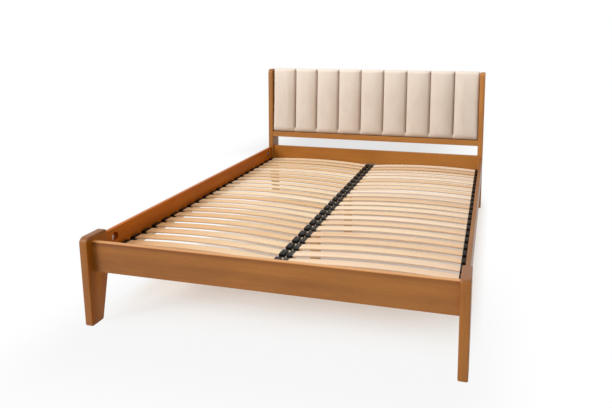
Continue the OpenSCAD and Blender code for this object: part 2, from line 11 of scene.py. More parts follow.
import bmesh
import bpy
from mathutils import Euler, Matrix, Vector


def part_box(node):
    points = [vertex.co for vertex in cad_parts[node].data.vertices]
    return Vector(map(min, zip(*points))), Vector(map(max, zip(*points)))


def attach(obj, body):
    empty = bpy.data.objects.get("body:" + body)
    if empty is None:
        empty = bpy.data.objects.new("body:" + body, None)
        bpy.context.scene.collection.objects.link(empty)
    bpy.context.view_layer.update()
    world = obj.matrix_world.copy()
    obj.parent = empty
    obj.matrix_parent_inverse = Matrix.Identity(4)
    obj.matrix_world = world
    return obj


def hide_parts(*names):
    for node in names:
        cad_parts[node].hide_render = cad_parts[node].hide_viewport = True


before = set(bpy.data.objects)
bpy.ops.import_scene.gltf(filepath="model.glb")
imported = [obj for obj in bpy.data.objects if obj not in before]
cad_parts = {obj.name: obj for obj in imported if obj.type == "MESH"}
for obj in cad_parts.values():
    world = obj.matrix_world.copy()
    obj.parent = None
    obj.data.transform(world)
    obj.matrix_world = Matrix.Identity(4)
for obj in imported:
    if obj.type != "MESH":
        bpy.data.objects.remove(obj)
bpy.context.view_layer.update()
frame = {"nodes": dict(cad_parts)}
nodes = frame["nodes"]
bpy.ops.object.select_all(action="DESELECT")

# %% [markdown]
# ## The camera
# The photograph was taken from the foot end, to the right of the bed, at chest height, and
# looks a little down. The point that the lens faced lies above and right of the picture's
# middle, as in a picture that was cropped. A shifted lens does the same here. The place, turn
# and focal length come from the corners of the rails and legs in the picture, matched to the
# sizes of the model.

# %% Place the camera
FRAME_W, FRAME_H = 612, 408
FOCAL_PX = 548.14
CENTRE_X, CENTRE_Y = 356.67, 120.0
SENSOR_W = 36.0
CAMERA_AT = (0.88957, -3.00181, 1.30149)
TILT_DOWN, ROLL, TURN_LEFT = 0.1607, 0.0003, 0.2458
lens_data = bpy.data.cameras.new("view_camera")
lens_data.sensor_width = SENSOR_W
lens_data.lens = SENSOR_W * FOCAL_PX / FRAME_W
lens_data.shift_x = -(CENTRE_X - FRAME_W / 2) / FRAME_W
lens_data.shift_y = (CENTRE_Y - FRAME_H / 2) / FRAME_W
camera = bpy.data.objects.new("view_camera", lens_data)
bpy.context.scene.collection.objects.link(camera)
camera.location = CAMERA_AT
camera.rotation_euler = Euler((math.pi / 2 - TILT_DOWN, ROLL, TURN_LEFT), "XYZ")
bpy.context.scene.camera = camera
print("lens", round(lens_data.lens, 2), "mm, shift", round(lens_data.shift_x, 4),
      round(lens_data.shift_y, 4))

# %% [markdown]
# ## Arithmetic with sockets
# A finish is a small sum of patterns. In the shader editor each plus and times is a Math node.
# Written in Python, a class that wraps a socket can add those nodes by itself, so that the
# finish reads like the formula that it is. The reflected forms let a plain number come first,
# as in 1 - mask. Colours don't go through Math nodes, because those turn them grey.

# %% Wrap a socket
def operator(operation, swapped=False):
    """A method that adds one kind of Math node; swapped puts the wire itself last."""
    def method(wire, *others):
        order = (*others, wire) if swapped else (wire, *others)
        return wire.nodes.add("ShaderNodeMath", {"operation": operation},
                              dict(enumerate(order)))
    return method


class Wire:
    """A socket in a node tree; an operator on it adds the Math node that it stands for."""

    def __init__(self, nodes, socket):
        self.nodes, self.socket = nodes, socket

    __add__ = __radd__ = operator("ADD")
    __sub__ = operator("SUBTRACT")
    __rsub__ = operator("SUBTRACT", swapped=True)
    __mul__ = __rmul__ = operator("MULTIPLY")
    __truediv__ = operator("DIVIDE")
    __rtruediv__ = operator("DIVIDE", swapped=True)
    __pow__ = operator("POWER")
    __abs__ = operator("ABSOLUTE")
    above = operator("GREATER_THAN")
    below = operator("LESS_THAN")
    most = operator("MAXIMUM")
    floor = operator("FLOOR")
    sine = operator("SINE")
    root = operator("SQRT")

    def __neg__(self):
        return self * -1.0

    def ramp(self, low, high, out_low=0.0, out_high=1.0):
        """Goes smoothly from one number to the other between low and high."""
        return self.nodes.add(
            "ShaderNodeMapRange", {"interpolation_type": "SMOOTHSTEP"},
            {"Value": self, "From Min": low, "From Max": high,
             "To Min": out_low, "To Max": out_high})


# %% [markdown]
# ## Node trees and finishes
# A finish on the bed starts with Object coordinates, so its patterns have real sizes and stay
# on the piece when the camera moves. One class keeps a node tree in one place, and one method
# adds any kind of node: its settings go in first, then its sockets. A finish is such a tree
# that ends in a Principled shader.

# %% Add nodes to a tree
class Nodes:
    """A node tree under construction."""

    def __init__(self, tree):
        self.tree = tree

    def join(self, value, socket):
        """Links a wire to a socket, or sets the socket to a plain value."""
        if isinstance(value, Wire):
            self.tree.links.new(value.socket, socket)
        else:
            socket.default_value = value

    def add(self, kind, settings=None, sockets=None, out=0):
        made = self.tree.nodes.new(kind)
        for name, value in (settings or {}).items():
            setattr(made, name, value)
        for name, value in (sockets or {}).items():
            self.join(value, made.inputs[name])
        return Wire(self, made.outputs[out])


# %% Start a finish
MIX_FACTOR, MIX_LOW, MIX_HIGH, MIX_COLOUR = 0, 6, 7, 2


class Finish(Nodes):
    """A material under construction."""

    def __init__(self, name, **fixed):
        self.material = bpy.data.materials.new(name)
        self.material.use_nodes = True
        super().__init__(self.material.node_tree)
        self.shader = self.tree.nodes["Principled BSDF"]
        for socket, value in fixed.items():
            self.shader.inputs[socket.replace("_", " ")].default_value = value

    def places(self, stretch=(1, 1, 1), shift=(0, 0, 0)):
        """Object coordinates in metres, stretched and shifted."""
        here = self.add("ShaderNodeTexCoord", out="Object")
        return self.add("ShaderNodeMapping", {}, {"Vector": here, "Scale": stretch,
                                                  "Location": shift})

    def axes(self, vector):
        """The x, y and z of a vector."""
        apart = self.add("ShaderNodeSeparateXYZ", {}, {"Vector": vector})
        return [Wire(self, out) for out in apart.socket.node.outputs]

    def noise(self, vector, scale=1.0, detail=3.0, rough=0.5, twist=0.0):
        return self.add("ShaderNodeTexNoise", {}, {
            "Vector": vector, "Scale": scale, "Detail": detail, "Roughness": rough,
            "Distortion": twist})

    def blend(self, factor, low, high):
        """Mixes two colours, each a wire or a plain colour."""
        return self.add("ShaderNodeMix", {"data_type": "RGBA"},
                        {MIX_FACTOR: factor, MIX_LOW: low, MIX_HIGH: high}, out=MIX_COLOUR)

    def feed(self, socket, wire):
        self.join(wire, self.shader.inputs[socket])

    def bump(self, height, depth, strength=1.0):
        """Sends a height pattern, 0 to 1, to the normals; depth is its real size in metres."""
        self.feed("Normal", self.add("ShaderNodeBump", {}, {
            "Height": height, "Distance": depth, "Strength": strength}))


# %% Pick a colour
def linear(red, green, blue):
    """A colour as it is picked on a screen, 0 to 255, as the shader wants it."""
    def one(v):
        v = v / 255
        return v / 12.92 if v <= 0.04045 else ((v + 0.055) / 1.055) ** 2.4
    return (one(red), one(green), one(blue), 1.0)


# %% [markdown]
# ## Stained beech
# The visible frame is beech, stained a warm orange brown and lacquered satin. Beech has little
# figure: faint bands where the year rings are cut, fine straight fibre, and short dark flecks
# a few millimetres long that tell it from other woods. All of it runs along the board, so the
# coordinates are squeezed along the board before they reach the noise. The stain also soaks in
# unevenly, in soft patches. Each board gets its own shift, tint and gloss, as boards come from
# different trees and take the stain a little differently. The tints also hold painted light:
# the right post and the right front leg are tinted paler where the light is weaker, and the
# boards across the bed are painted paler towards the right, as if lit more there. The front
# rail gets painted shade in a band under its top edge, and a painted highlight on its arris
# and on its top. The front legs get painted shade down the inner side near the front and a
# painted reflection on the top, and the left leg gets a greyer painted reflection on its outside.

# %% Paint light and shade on the edges of the front rail and the front legs
rail_foot, rail_top = (corner.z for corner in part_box("front_rail"))
leg_low, leg_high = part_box("front_leg_left")
leg_inner = -leg_high.x


def rail_painted_edges(wood, tone, x, y, z):
    """Painted shade in a band under the top edge, a painted highlight on the arris, and a painted
    highlight on the top, strongest at the right.
    """
    # Painted shade in a band under the top edge, stronger at the left.
    band = z.ramp(rail_top - 0.027, rail_top - 0.006) * x.ramp(-0.8, 0.5, 0.75, 0.35)
    tone = wood.blend(band, tone, linear(104, 52, 10))
    # A painted highlight on the rounded arris.
    arris = z.ramp(rail_top - 0.0045, rail_top - 0.0025)
    tone = wood.blend(arris, tone, linear(190, 124, 60))
    # A painted highlight on the top, strongest at the right.
    lit_top = z.ramp(rail_top - 0.0008, rail_top - 0.0002) * x.ramp(-0.8, 0.2, 0.25, 0.65)
    return wood.blend(lit_top, tone, linear(226, 170, 114))


def leg_painted_edges(wood, tone, x, y, z):
    """Painted shade down the inner side near the front, a painted reflection on the top, and a greyer
    painted reflection outside on the left leg.
    """
    # Painted shade in a band down the inner side, near the front.
    inner_face = abs(x).ramp(leg_inner + 0.001, leg_inner + 0.004, 1, 0)
    band = inner_face * y.ramp(leg_low.y + 0.0185, leg_low.y + 0.0535, 0.55, 0)
    tone = wood.blend(band, tone, linear(128, 66, 6))
    # A painted reflection on the top.
    tone = wood.blend(z.ramp(leg_high.z - 0.019, leg_high.z - 0.004) * 0.5, tone,
                      linear(122, 84, 66))
    # A greyer painted reflection outside the left leg.
    left_reflection = (-x).ramp(leg_inner + 0.0045, leg_inner + 0.008)
    return wood.blend(left_reflection * 0.4, tone, linear(132, 96, 66))


EDGES = {"front_rail": rail_painted_edges, "front_leg_left": leg_painted_edges, "front_leg_right": leg_painted_edges}
print("edges shaded on", ", ".join(EDGES))

# %% Make the stained beech
DARK_STAIN, WARM_STAIN, THIN_STAIN, FLECK = (134, 75, 18), (164, 99, 32), (188, 124, 58), (94, 54, 18)
BED_LEFT, BED_RIGHT = -0.8, 0.8


def squeezed(axis, share=0.045):
    """The stretch that draws a pattern out along one axis."""
    return [share if a == axis else 1 for a in "xyz"]


def stained_beech(board, axis, shift, tint=(1, 1, 1), gloss=0.36, painted_light_right=0.0):
    wood = Finish(board + "_beech", Specular_IOR_Level=gloss)
    grain = wood.places(squeezed(axis), shift)
    broad = wood.noise(grain, 9, 3, 0.55, 0.3)
    uptake = wood.noise(wood.places(squeezed(axis, 0.3), shift), 13, 2)
    bands = wood.noise(grain, 42, 2, 0.6, 0.4)
    fibre = wood.noise(grain, 620, 2, 0.7)
    flecks = wood.noise(wood.places(squeezed(axis, 0.16), shift), 900, 1, 0.5).ramp(0.66, 0.76)
    dark, warm, pale, fleck = (linear(*(c * t for c, t in zip(shade, tint)))
                               for shade in (DARK_STAIN, WARM_STAIN, THIN_STAIN, FLECK))
    depth = (broad - 0.5) * 2.0 + (uptake - 0.5) * 1.2 + (bands - 0.5) * 0.9 + 0.55
    tone = wood.blend(depth, dark, warm)
    tone = wood.blend(fibre.ramp(0.45, 0.8) * 0.35, tone, pale)
    tone = wood.blend(flecks * 0.35, tone, fleck)
    x, y, z = wood.axes(wood.places())
    # Painted light: the boards grow paler towards the right, as if lit more there.
    tone = wood.blend(x.ramp(BED_LEFT, BED_RIGHT) * painted_light_right, tone, pale)
    if board in EDGES:
        tone = EDGES[board](wood, tone, x, y, z)
    wood.feed("Base Color", tone)
    wood.feed("Roughness", fibre * 0.14 + bands * 0.1 + 0.26)
    wood.bump(fibre * 0.6 + bands * 0.4 - flecks * 0.5, 0.00012, 0.5)
    return wood.material


# %% Stain each board
# Columns: grain axis, shift, tint, gloss and painted light towards the right. Some tints are painted
# light as well: the right post and the right front leg are tinted paler where the light is weaker.
BOARDS = {
    "front_rail": ("x", (1.7, 0.4, 0.2), (0.97, 0.99, 1.04), 0.36, 0.18),
    "head_crossrail": ("x", (0.4, 2.4, 1.2), (0.98, 1.0, 0.96), 0.36, 0.6),
    "headboard_lower_rail": ("x", (3.1, 1.4, 2.2), (1.04, 1.12, 1.35), 0.36, 0.2),
    "side_rail_left": ("y", (2.9, 1.3, 0.5), (1.16, 1.04, 0.7), 0.12),
    "side_rail_right": ("y", (0.6, 2.3, 1.5), (0.92, 0.96, 1.15)),
    "front_leg_left": ("z", (0.31, 0.12, 0.74), (1.02, 1.0, 0.85), 0.14),
    "front_leg_right": ("z", (4.2, 2.1, 0.35), (1.03, 1.07, 1.15)),
    "head_post_left": ("z", (1.3, 0.8, 0.2), (0.98, 1.05, 1.22)),
    "head_post_right": ("z", (2.4, 3.3, 1.6), (1.16, 1.29, 1.9)),
}


def cover(piece, material):
    """Gives a piece one material all over."""
    piece.data.materials.clear()
    piece.data.materials.append(material)


beech = {board: stained_beech(board, *kind) for board, kind in BOARDS.items()}
for board, material in beech.items():
    cover(nodes[board], material)
print(len(beech), "boards of stained beech")

# %% [markdown]
# ## The softwood underneath
# The battens, the middle beam, its legs and the rail behind the headboard are planed spruce.
# They hardly show, but a bed is judged from below and behind too. Spruce is pale, with a
# darker line for each late summer, so a distorted band pattern runs along each board. The
# middle legs stand in the bed's shade, and that shade is also painted into their colours,
# which are a little darker.

# %% Make the softwood
EARLY_WOOD, LATE_WOOD = (240, 220, 188), (216, 176, 130)


def spruce(name, axis, shift, early=EARLY_WOOD, late=LATE_WOOD):
    wood = Finish(name, Specular_IOR_Level=0.3)
    grain = wood.places(squeezed(axis, 0.03), shift)
    wander = wood.noise(grain, 14, 2, 0.5)
    rings = (wander * 130 + wood.noise(grain, 60, 1) * 5).sine().ramp(0.2, 1.0)
    fibre = wood.noise(grain, 800, 2, 0.7)
    tone = wood.blend(rings * 0.55, linear(*early), linear(*late))
    tone = wood.blend(fibre.ramp(0.5, 0.8) * 0.3, tone, linear(235, 212, 172))
    wood.feed("Base Color", tone)
    wood.feed("Roughness", fibre * 0.2 + 0.55)
    wood.bump(fibre * 0.7 - rings * 0.4, 0.0003, 0.5)
    return wood.material


along_bed = spruce("planed_spruce_side", "y", (0.2, 0.9, 0.4))
across_bed = spruce("planed_spruce_cross", "x", (1.1, 0.3, 0.8))
# Darker early and late wood for the middle legs: painted shade, for the bed's shade over them.
upright = spruce("planed_spruce_upright", "z", (0.6, 0.5, 1.9), (220, 182, 136), (188, 134, 86))
SPRUCE_NODES = {"slat_batten_left": along_bed, "slat_batten_right": along_bed,
                "middle_beam": along_bed, "headboard_top_rail": across_bed,
                "middle_leg_front": upright, "middle_leg_head": upright}
for name, material in SPRUCE_NODES.items():
    cover(nodes[name], material)
print(len(SPRUCE_NODES), "pieces of spruce")

# %% Make the plywood
ply = Finish("birch_plywood", Specular_IOR_Level=0.3)
veneer = ply.places((0.12, 1, 1), (0.4, 0.2, 0.1))
arches = (ply.noise(veneer, 7, 3, 0.5, 1.2) * 60).sine().ramp(-1, 1)
ply_pores = ply.noise(ply.places((0.05, 1, 1)), 700, 2, 0.7)
sheet_tone = ply.blend(arches * 0.5, linear(224, 194, 150), linear(206, 168, 120))
ply.feed("Base Color", ply.blend(ply_pores.ramp(0.5, 0.8) * 0.3, sheet_tone,
                                 linear(186, 148, 104)))
ply.feed("Roughness", ply_pores * 0.15 + 0.55)
ply.bump(ply_pores, 0.0002, 0.4)
cover(nodes["headboard_panel"], ply.material)
print("plywood on the headboard panel")

# %% [markdown]
# ## Small fittings
# The bolts, half moon washers, hangers and screws are zinc plated steel: grey, a little
# cloudy, and duller where the plating is thick. Dowels are plain beech, glides and caps are
# moulded plastic with a fine spark eroded texture.

# %% Make the zinc plated steel
STEEL_NODES = ("bed_bolts", "half_moon_washers", "threaded_inserts", "middle_leg_plates",
               "beam_hanger_front", "beam_hanger_head", "batten_screws", "hanger_screws",
               "middle_leg_screws", "panel_screws")
zinc = Finish("zinc_plated_steel", Metallic=1.0)
cloud = zinc.noise(zinc.places(), 160, 4, 0.6)
scuff = zinc.noise(zinc.places((1, 0.1, 1)), 900, 2, 0.6)
zinc.feed("Base Color", zinc.blend(cloud, linear(176, 178, 182), linear(206, 208, 208)))
zinc.feed("Roughness", cloud * 0.25 + scuff * 0.12 + 0.2)
zinc.bump(scuff, 0.00005, 0.4)
for name in STEEL_NODES:
    cover(nodes[name], zinc.material)
print(len(STEEL_NODES), "nodes of steel")

# %% Make the dowels
DOWEL_NODES = ("side_rail_dowels", "front_rail_dowels", "headboard_dowels")
peg = Finish("fluted_beech_dowel", Specular_IOR_Level=0.25)
rays = peg.noise(peg.places((0.2, 0.2, 1)), 900, 2, 0.6)
peg.feed("Base Color", peg.blend(rays, linear(214, 178, 134), linear(190, 148, 104)))
peg.feed("Roughness", rays * 0.2 + 0.55)
peg.bump(rays, 0.0002, 0.5)
for name in DOWEL_NODES:
    cover(nodes[name], peg.material)
print(len(DOWEL_NODES), "nodes of dowels")

# %% Make the plastics
def moulded(name, shade, smoothest, roughest, gloss=0.3):
    plastic = Finish(name, Specular_IOR_Level=gloss)
    spark = plastic.noise(plastic.places(), 2600, 2, 0.6)
    patch = plastic.noise(plastic.places(), 60, 2, 0.5)
    lighter = tuple(min(1, 1.5 * c + 0.003) for c in shade[:3]) + (1,)
    plastic.feed("Base Color", plastic.blend(patch.ramp(0.3, 0.7), shade, lighter))
    plastic.feed("Roughness", spark * (roughest - smoothest) + smoothest)
    plastic.bump(spark, 0.00012, 0.35)
    return plastic.material


cap_plastic = moulded("black_cap_plastic", linear(3, 3, 4), 0.24, 0.4, 0.18)
cover(nodes["floor_glides"], moulded("glide_plastic", linear(62, 48, 38), 0.4, 0.6))
print("plastic for the caps and the glides")

# %% [markdown]
# ## Working by code as by hand
# Each new piece starts from a primitive block over its place, and is then shaped in edit mode
# with the same tools that the menus have. A script has no mouse, so one helper selects a
# single piece, another opens edit mode, and another selects points, edges or faces by where
# they are. Cuts and rounded edges come back on nearly every piece, so they have a helper too.

# %% Select and open a piece
def rest():
    """Leaves edit mode, with nothing selected."""
    active = bpy.context.view_layer.objects.active
    if active and active.mode != "OBJECT":
        bpy.ops.object.mode_set(mode="OBJECT")
    bpy.ops.object.select_all(action="DESELECT")


def only(piece):
    """Selects one piece and makes it the active one."""
    rest()
    bpy.context.view_layer.objects.active = piece
    piece.select_set(True)


def edit(piece, kind="VERT"):
    """Opens a piece in edit mode."""
    only(piece)
    bpy.ops.object.mode_set(mode="EDIT")
    bpy.ops.mesh.select_mode(type=kind)


def pick(piece, kind, test):
    """Selects the verts, edges or faces all of whose points pass a test."""
    bpy.ops.mesh.select_mode(type={"verts": "VERT", "edges": "EDGE", "faces": "FACE"}[kind])
    bpy.ops.mesh.select_all(action="DESELECT")
    mesh = bmesh.from_edit_mesh(piece.data)
    for item in getattr(mesh, kind):
        points = [item.co] if kind == "verts" else [v.co for v in item.verts]
        if all(test(p) for p in points):
            item.select_set(True)
    mesh.select_flush_mode()
    bmesh.update_edit_mesh(piece.data)


# %% Make, cut and round a piece
def apply_place():
    bpy.ops.object.transform_apply(location=True, rotation=True, scale=True)


def block(name, low, high):
    """A box from one corner to the other, with its place in its mesh."""
    rest()
    low, high = Vector(low), Vector(high)
    bpy.ops.mesh.primitive_cube_add(size=1, location=(low + high) / 2)
    piece = bpy.context.active_object
    piece.name = piece.data.name = name
    piece.scale = high - low
    apply_place()
    return piece


def cut(place, across):
    """Cuts the open piece all the way through, across a direction."""
    bpy.ops.mesh.select_all(action="SELECT")
    bpy.ops.mesh.bisect(plane_co=place, plane_no=across)


def round_edges(piece, radius, segments, test):
    """Bevels the edges of the open piece that pass a test."""
    pick(piece, "edges", test)
    bpy.ops.mesh.bevel(offset=radius, segments=segments, affect="EDGES")


def face_out():
    """Turns all faces of the open piece outwards."""
    bpy.ops.mesh.select_all(action="SELECT")
    bpy.ops.mesh.normals_make_consistent(inside=False)


# %% Modify and finish a piece
SHARP = math.radians(35)


def modify(piece, kind, **settings):
    """Adds a modifier and applies it."""
    only(piece)
    made = piece.modifiers.new(kind.lower(), kind)
    for name, value in settings.items():
        setattr(made, name, value)
    bpy.ops.object.modifier_apply(modifier=made.name)


def repeat(piece, count, step):
    """Copies a piece in a row within its own mesh."""
    modify(piece, "ARRAY", count=count, use_relative_offset=False, use_constant_offset=True,
           constant_offset_displace=step)


def ease(piece, width, segments=3):
    """Rounds the sharp edges and smooths the shading, as sandpaper does."""
    modify(piece, "BEVEL", width=width, segments=segments, limit_method="ANGLE",
           angle_limit=SHARP, use_clamp_overlap=True)
    bpy.ops.object.shade_smooth_by_angle(angle=SHARP)
    rest()


def seat(piece, material, stands_for=()):
    """Gives a finished piece its finish and its body, and hides the nodes it stands for."""
    cover(piece, material)
    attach(piece, "root")
    if stands_for:
        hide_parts(*stands_for)
    print(piece.name, len(piece.data.polygons), "faces")


# %% [markdown]
# ## The front legs
# A front leg is a thick plank on edge. It keeps its full depth as high as the rail, and below
# the rail its back edge tapers to the foot. Its front top corner has a large radius, its foot
# is rounded a little, and every arris is sanded round, which catches the light in the
# photograph. A block is cut once where the taper starts, its foot is moved in, and the edges
# are bevelled.

# %% Model the front legs
FOOT_IN = 0.061
LEG_FRONT_R, LEG_BACK_R, LEG_FOOT_R = 0.027, 0.012, 0.007
ARRIS = 0.0045
SNAP = 0.0005
UP, ALONG_X = (0, 0, 1), (1, 0, 0)


def front_leg(name, node):
    low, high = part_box(node)
    leg = block(name, low, high)
    edit(leg)
    cut((0, 0, rail_foot), UP)
    pick(leg, "verts", lambda p: p.z < low.z + SNAP and p.y > high.y - SNAP)
    bpy.ops.transform.translate(value=(0, -FOOT_IN, 0))
    round_edges(leg, LEG_FRONT_R, 10, lambda p: p.z > high.z - SNAP and p.y < low.y + SNAP)
    round_edges(leg, LEG_BACK_R, 6, lambda p: p.z > high.z - SNAP and p.y > high.y - SNAP)
    round_edges(leg, LEG_FOOT_R, 4, lambda p: p.z < low.z + SNAP)
    ease(leg, ARRIS)
    seat(leg, beech[node], [node])


front_leg("leg_left", "front_leg_left")
front_leg("leg_right", "front_leg_right")

# %% [markdown]
# ## The head posts
# A head post is the rear leg and the side of the headboard in one plank. It tapers to the foot
# on its front edge, runs straight past the rails, and leans back a little from there up. The
# block gets two cuts, one at the rail's underside and one at the knee, so each part can move
# by itself.

# %% Model the head posts
side_rail_low, side_rail_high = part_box("side_rail_left")
KNEE = 0.400
POST_FOOT_IN, POST_LEAN = 0.049, math.radians(2.7)
POST_FRONT_R, POST_BACK_R = 0.026, 0.013


def head_post(name, node):
    low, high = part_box(node)
    lean_back = (high.z - KNEE) * math.tan(POST_LEAN)
    post = block(name, low, high)
    edit(post)
    cut((0, 0, side_rail_low.z), UP)
    cut((0, 0, KNEE), UP)
    pick(post, "verts", lambda p: p.z < low.z + SNAP and p.y < low.y + SNAP)
    bpy.ops.transform.translate(value=(0, POST_FOOT_IN, 0))
    pick(post, "verts", lambda p: p.z > high.z - SNAP and p.y < low.y + SNAP)
    bpy.ops.transform.translate(value=(0, lean_back, 0))
    round_edges(post, POST_FRONT_R, 10,
                lambda p: p.z > high.z - SNAP and p.y < low.y + lean_back + SNAP)
    round_edges(post, POST_BACK_R, 6, lambda p: p.z > high.z - SNAP and p.y > high.y - SNAP)
    ease(post, ARRIS)
    seat(post, beech[node], [node])


head_post("post_left", "head_post_left")
head_post("post_right", "head_post_right")

# %% [markdown]
# ## The slats
# A slat is a strip of glued birch veneers, pressed in a curved mould, so that it bows up
# between its ends. The spin tool makes just that: it carries a section round a far away centre.
# The section is a plane whose corners are rounded first, since slats have soft edges. The middle
# beam lies a little lower than the battens, so each slat tilts and its centre moves aside.

# %% Work out the bow
SLAT_ROWS = 23
SLAT_W, SLAT_T, CROWN = 0.0524, 0.008, 0.018
SLAT_FROM, SLAT_TO = 0.0078, 0.8062
OUTER_Z, INNER_Z = 0.300, 0.291
row_middle = []
for i in range(1, SLAT_ROWS + 1):
    low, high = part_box(f"slat_pair_{i:02d}")
    row_middle.append((low.y + high.y) / 2)
PITCH = row_middle[1] - row_middle[0]
slat_run, slat_rise = SLAT_TO - SLAT_FROM, OUTER_Z - INNER_Z
slat_tilt = math.atan2(slat_rise, slat_run)
half_chord = math.hypot(slat_run, slat_rise) / 2
bow_radius = (half_chord ** 2 + CROWN ** 2) / (2 * CROWN)
chord_middle = Vector(((SLAT_TO + SLAT_FROM) / 2, 0, (OUTER_Z + INNER_Z) / 2))
bow_centre = chord_middle + (bow_radius - CROWN) * Vector(
    (math.sin(slat_tilt), 0, -math.cos(slat_tilt)))
half_turn = math.asin(half_chord / bow_radius)
first_angle = -half_turn - slat_tilt
print("bow radius", round(bow_radius, 3), "row pitch", round(PITCH, 4))

# %% Spin one slat
SLAT_CORNER_R, SPIN_STEPS = 0.0022, 28
rest()
start = bow_centre + bow_radius * Vector((math.sin(first_angle), 0, math.cos(first_angle)))
bpy.ops.mesh.primitive_plane_add(size=1, location=start,
                                 rotation=(0, math.pi / 2 + first_angle, 0))
slat_row = bpy.context.active_object
slat_row.name = slat_row.data.name = "slat_row"
slat_row.scale = (SLAT_T, SLAT_W, 1)
apply_place()
edit(slat_row)
bpy.ops.mesh.select_all(action="SELECT")
bpy.ops.mesh.bevel(offset=SLAT_CORNER_R, segments=3, affect="VERTICES")
bpy.ops.mesh.select_all(action="SELECT")
bpy.ops.mesh.spin(steps=SPIN_STEPS, angle=-2 * half_turn, center=bow_centre, axis=(0, 1, 0))
rest()
spun = [v.co.x for v in slat_row.data.vertices]
print("slat spans", round(min(spun), 4), "to", round(max(spun), 4))

# %% [markdown]
# After a spin, points can lie on top of each other and the ends can be open, so doubles are
# merged and ends are closed. The row's other slat is the mirror image. A mirrored mesh is
# inside out, so its faces are turned outwards again.

# %% Close the slat's ends and mirror it
DOUBLES = 0.00001
edit(slat_row, "EDGE")
bpy.ops.mesh.select_all(action="SELECT")
bpy.ops.mesh.remove_doubles(threshold=DOUBLES)
bpy.ops.mesh.select_all(action="DESELECT")
bpy.ops.mesh.select_non_manifold()
bpy.ops.mesh.edge_face_add()
bpy.ops.mesh.select_all(action="SELECT")
bpy.ops.mesh.duplicate()
bpy.ops.transform.resize(value=(-1, 1, 1), center_override=(0, 0, 0))
face_out()
only(slat_row)
bpy.ops.object.shade_smooth_by_angle(angle=math.radians(40))
rest()
print("slat row", len(slat_row.data.polygons), "faces")

# %% [markdown]
# ## The look of a slat
# The top of a slat is peeled birch: pale, with a faint figure along it, and no two alike. The
# row and the side of the bed pick a tone from a white noise node, which always gives the same
# number for the same place. The slats at the near left are warmer in the photograph, and this
# is painted warm shade, as from the left and front rails. The long edges show the glued layers
# as thin lines. The layers follow the bow, so they are counted from the centre that the slat was
# spun round. Two small knots sit where the photograph shows them.

# %% Pick a tone for each slat
birch = Finish("birch_slat", Coat_Weight=0.12, Coat_Roughness=0.4, Specular_IOR_Level=0.35)
x, y, z = birch.axes(birch.places())
rows_up = (y - row_middle[0]) / PITCH + 0.5
row = rows_up.floor()
column = x.above(0.0)


def throw(spread, shelf):
    """A number from 0 to 1 that is the same all over one slat."""
    which = birch.add("ShaderNodeCombineXYZ", {}, {"X": row, "Y": column * spread, "Z": shelf})
    return birch.add("ShaderNodeTexWhiteNoise", {"noise_dimensions": "3D"}, {"Vector": which})


dice, second = throw(3.0, 0.5), throw(5.0, 2.5)
yellow = birch.blend(dice, linear(225, 186, 139), linear(246, 223, 189))
pink = birch.blend(dice, linear(229, 192, 152), linear(251, 232, 209))
pink = birch.blend(second.ramp(0.55, 0.75) * 0.6, pink, yellow)
tone = birch.blend(column, yellow, pink)
print("slats yellower left of the middle, pinker right of it")

# %% Add the figure, the pores and the knots
KNOTS = ((-0.282, -0.122, 0.006), (-0.066, -0.572, 0.005))
own = birch.add("ShaderNodeCombineXYZ", {}, {
    "X": x * 0.05 + dice * 9.0, "Y": y + row * 0.37, "Z": z * 0.3})
figure = birch.noise(own, 24, 3, 0.55, 0.5)
lines = birch.noise(own, 170, 2, 0.6)
pores = birch.noise(birch.places((0.06, 1, 1)), 1500, 2, 0.7)
streak = birch.noise(own, 60, 1, 0.4).ramp(0.7, 0.78)
# Painted warm shade on the slats near the left and front rails.
near_left_shade = (-x).ramp(0.1, 0.8) * (-y).ramp(-0.5, 0.9)
tone = birch.blend((figure - 0.42) * 1.1 + (lines - 0.5) * 0.5, tone, linear(214, 164, 108))
tone = birch.blend(streak * 0.45, tone, linear(176, 118, 66))
tone = birch.blend(near_left_shade * 0.85, tone, linear(213, 158, 99))
tone = birch.blend(pores.ramp(0.55, 0.8) * 0.18, tone, linear(190, 140, 92))
for knot_x, knot_y, size in KNOTS:
    away = (((x - knot_x) / 2.2) ** 2 + (y - knot_y) ** 2).root() + (figure - 0.5) * 0.006
    tone = birch.blend(away.ramp(0, size, 0.9, 0), tone, linear(120, 66, 28))
print(len(KNOTS), "knots")

# %% Draw the glued layers on the long edges
VENEER, EDGE_ROUND = 0.0014, 0.0009
out = ((abs(x) - bow_centre.x) ** 2 + (z - bow_centre.z) ** 2).root() - (bow_radius - SLAT_T / 2)
layers = (out * (2 * math.pi / VENEER)).sine().ramp(-0.2, 0.9)
from_middle = abs(rows_up - row - 0.5) * PITCH
edge = from_middle.above(SLAT_W / 2 - EDGE_ROUND)
tone = birch.blend(edge * (layers * 0.4 + 0.25), tone, linear(160, 116, 80))
birch.feed("Base Color", tone)
birch.feed("Roughness", lines * 0.2 + second * 0.1 + 0.36)
birch.bump(pores * 0.5 + lines * 0.5, 0.00014, 0.4)
print("about", round(SLAT_T / VENEER), "layers in a slat")

# %% [markdown]
# ## Twenty-three rows
# Every row is a copy with a mesh of its own, because each stands in for its own row of the
# CAD model. Real slats differ a little in their bow, so each copy is raised or flattened by a
# few hundredths, about the line between its ends. The seed makes that the same in every run.

# %% Copy the row to its places
FLATTEST, HIGHEST = 0.95, 1.04
random.seed(4)


def copy_of(piece, name, place):
    """A copy with its own mesh, moved by its mesh."""
    copy = piece.copy()
    copy.data = piece.data.copy()
    copy.name = copy.data.name = name
    bpy.context.scene.collection.objects.link(copy)
    only(copy)
    bpy.ops.transform.translate(value=place)
    apply_place()
    return copy


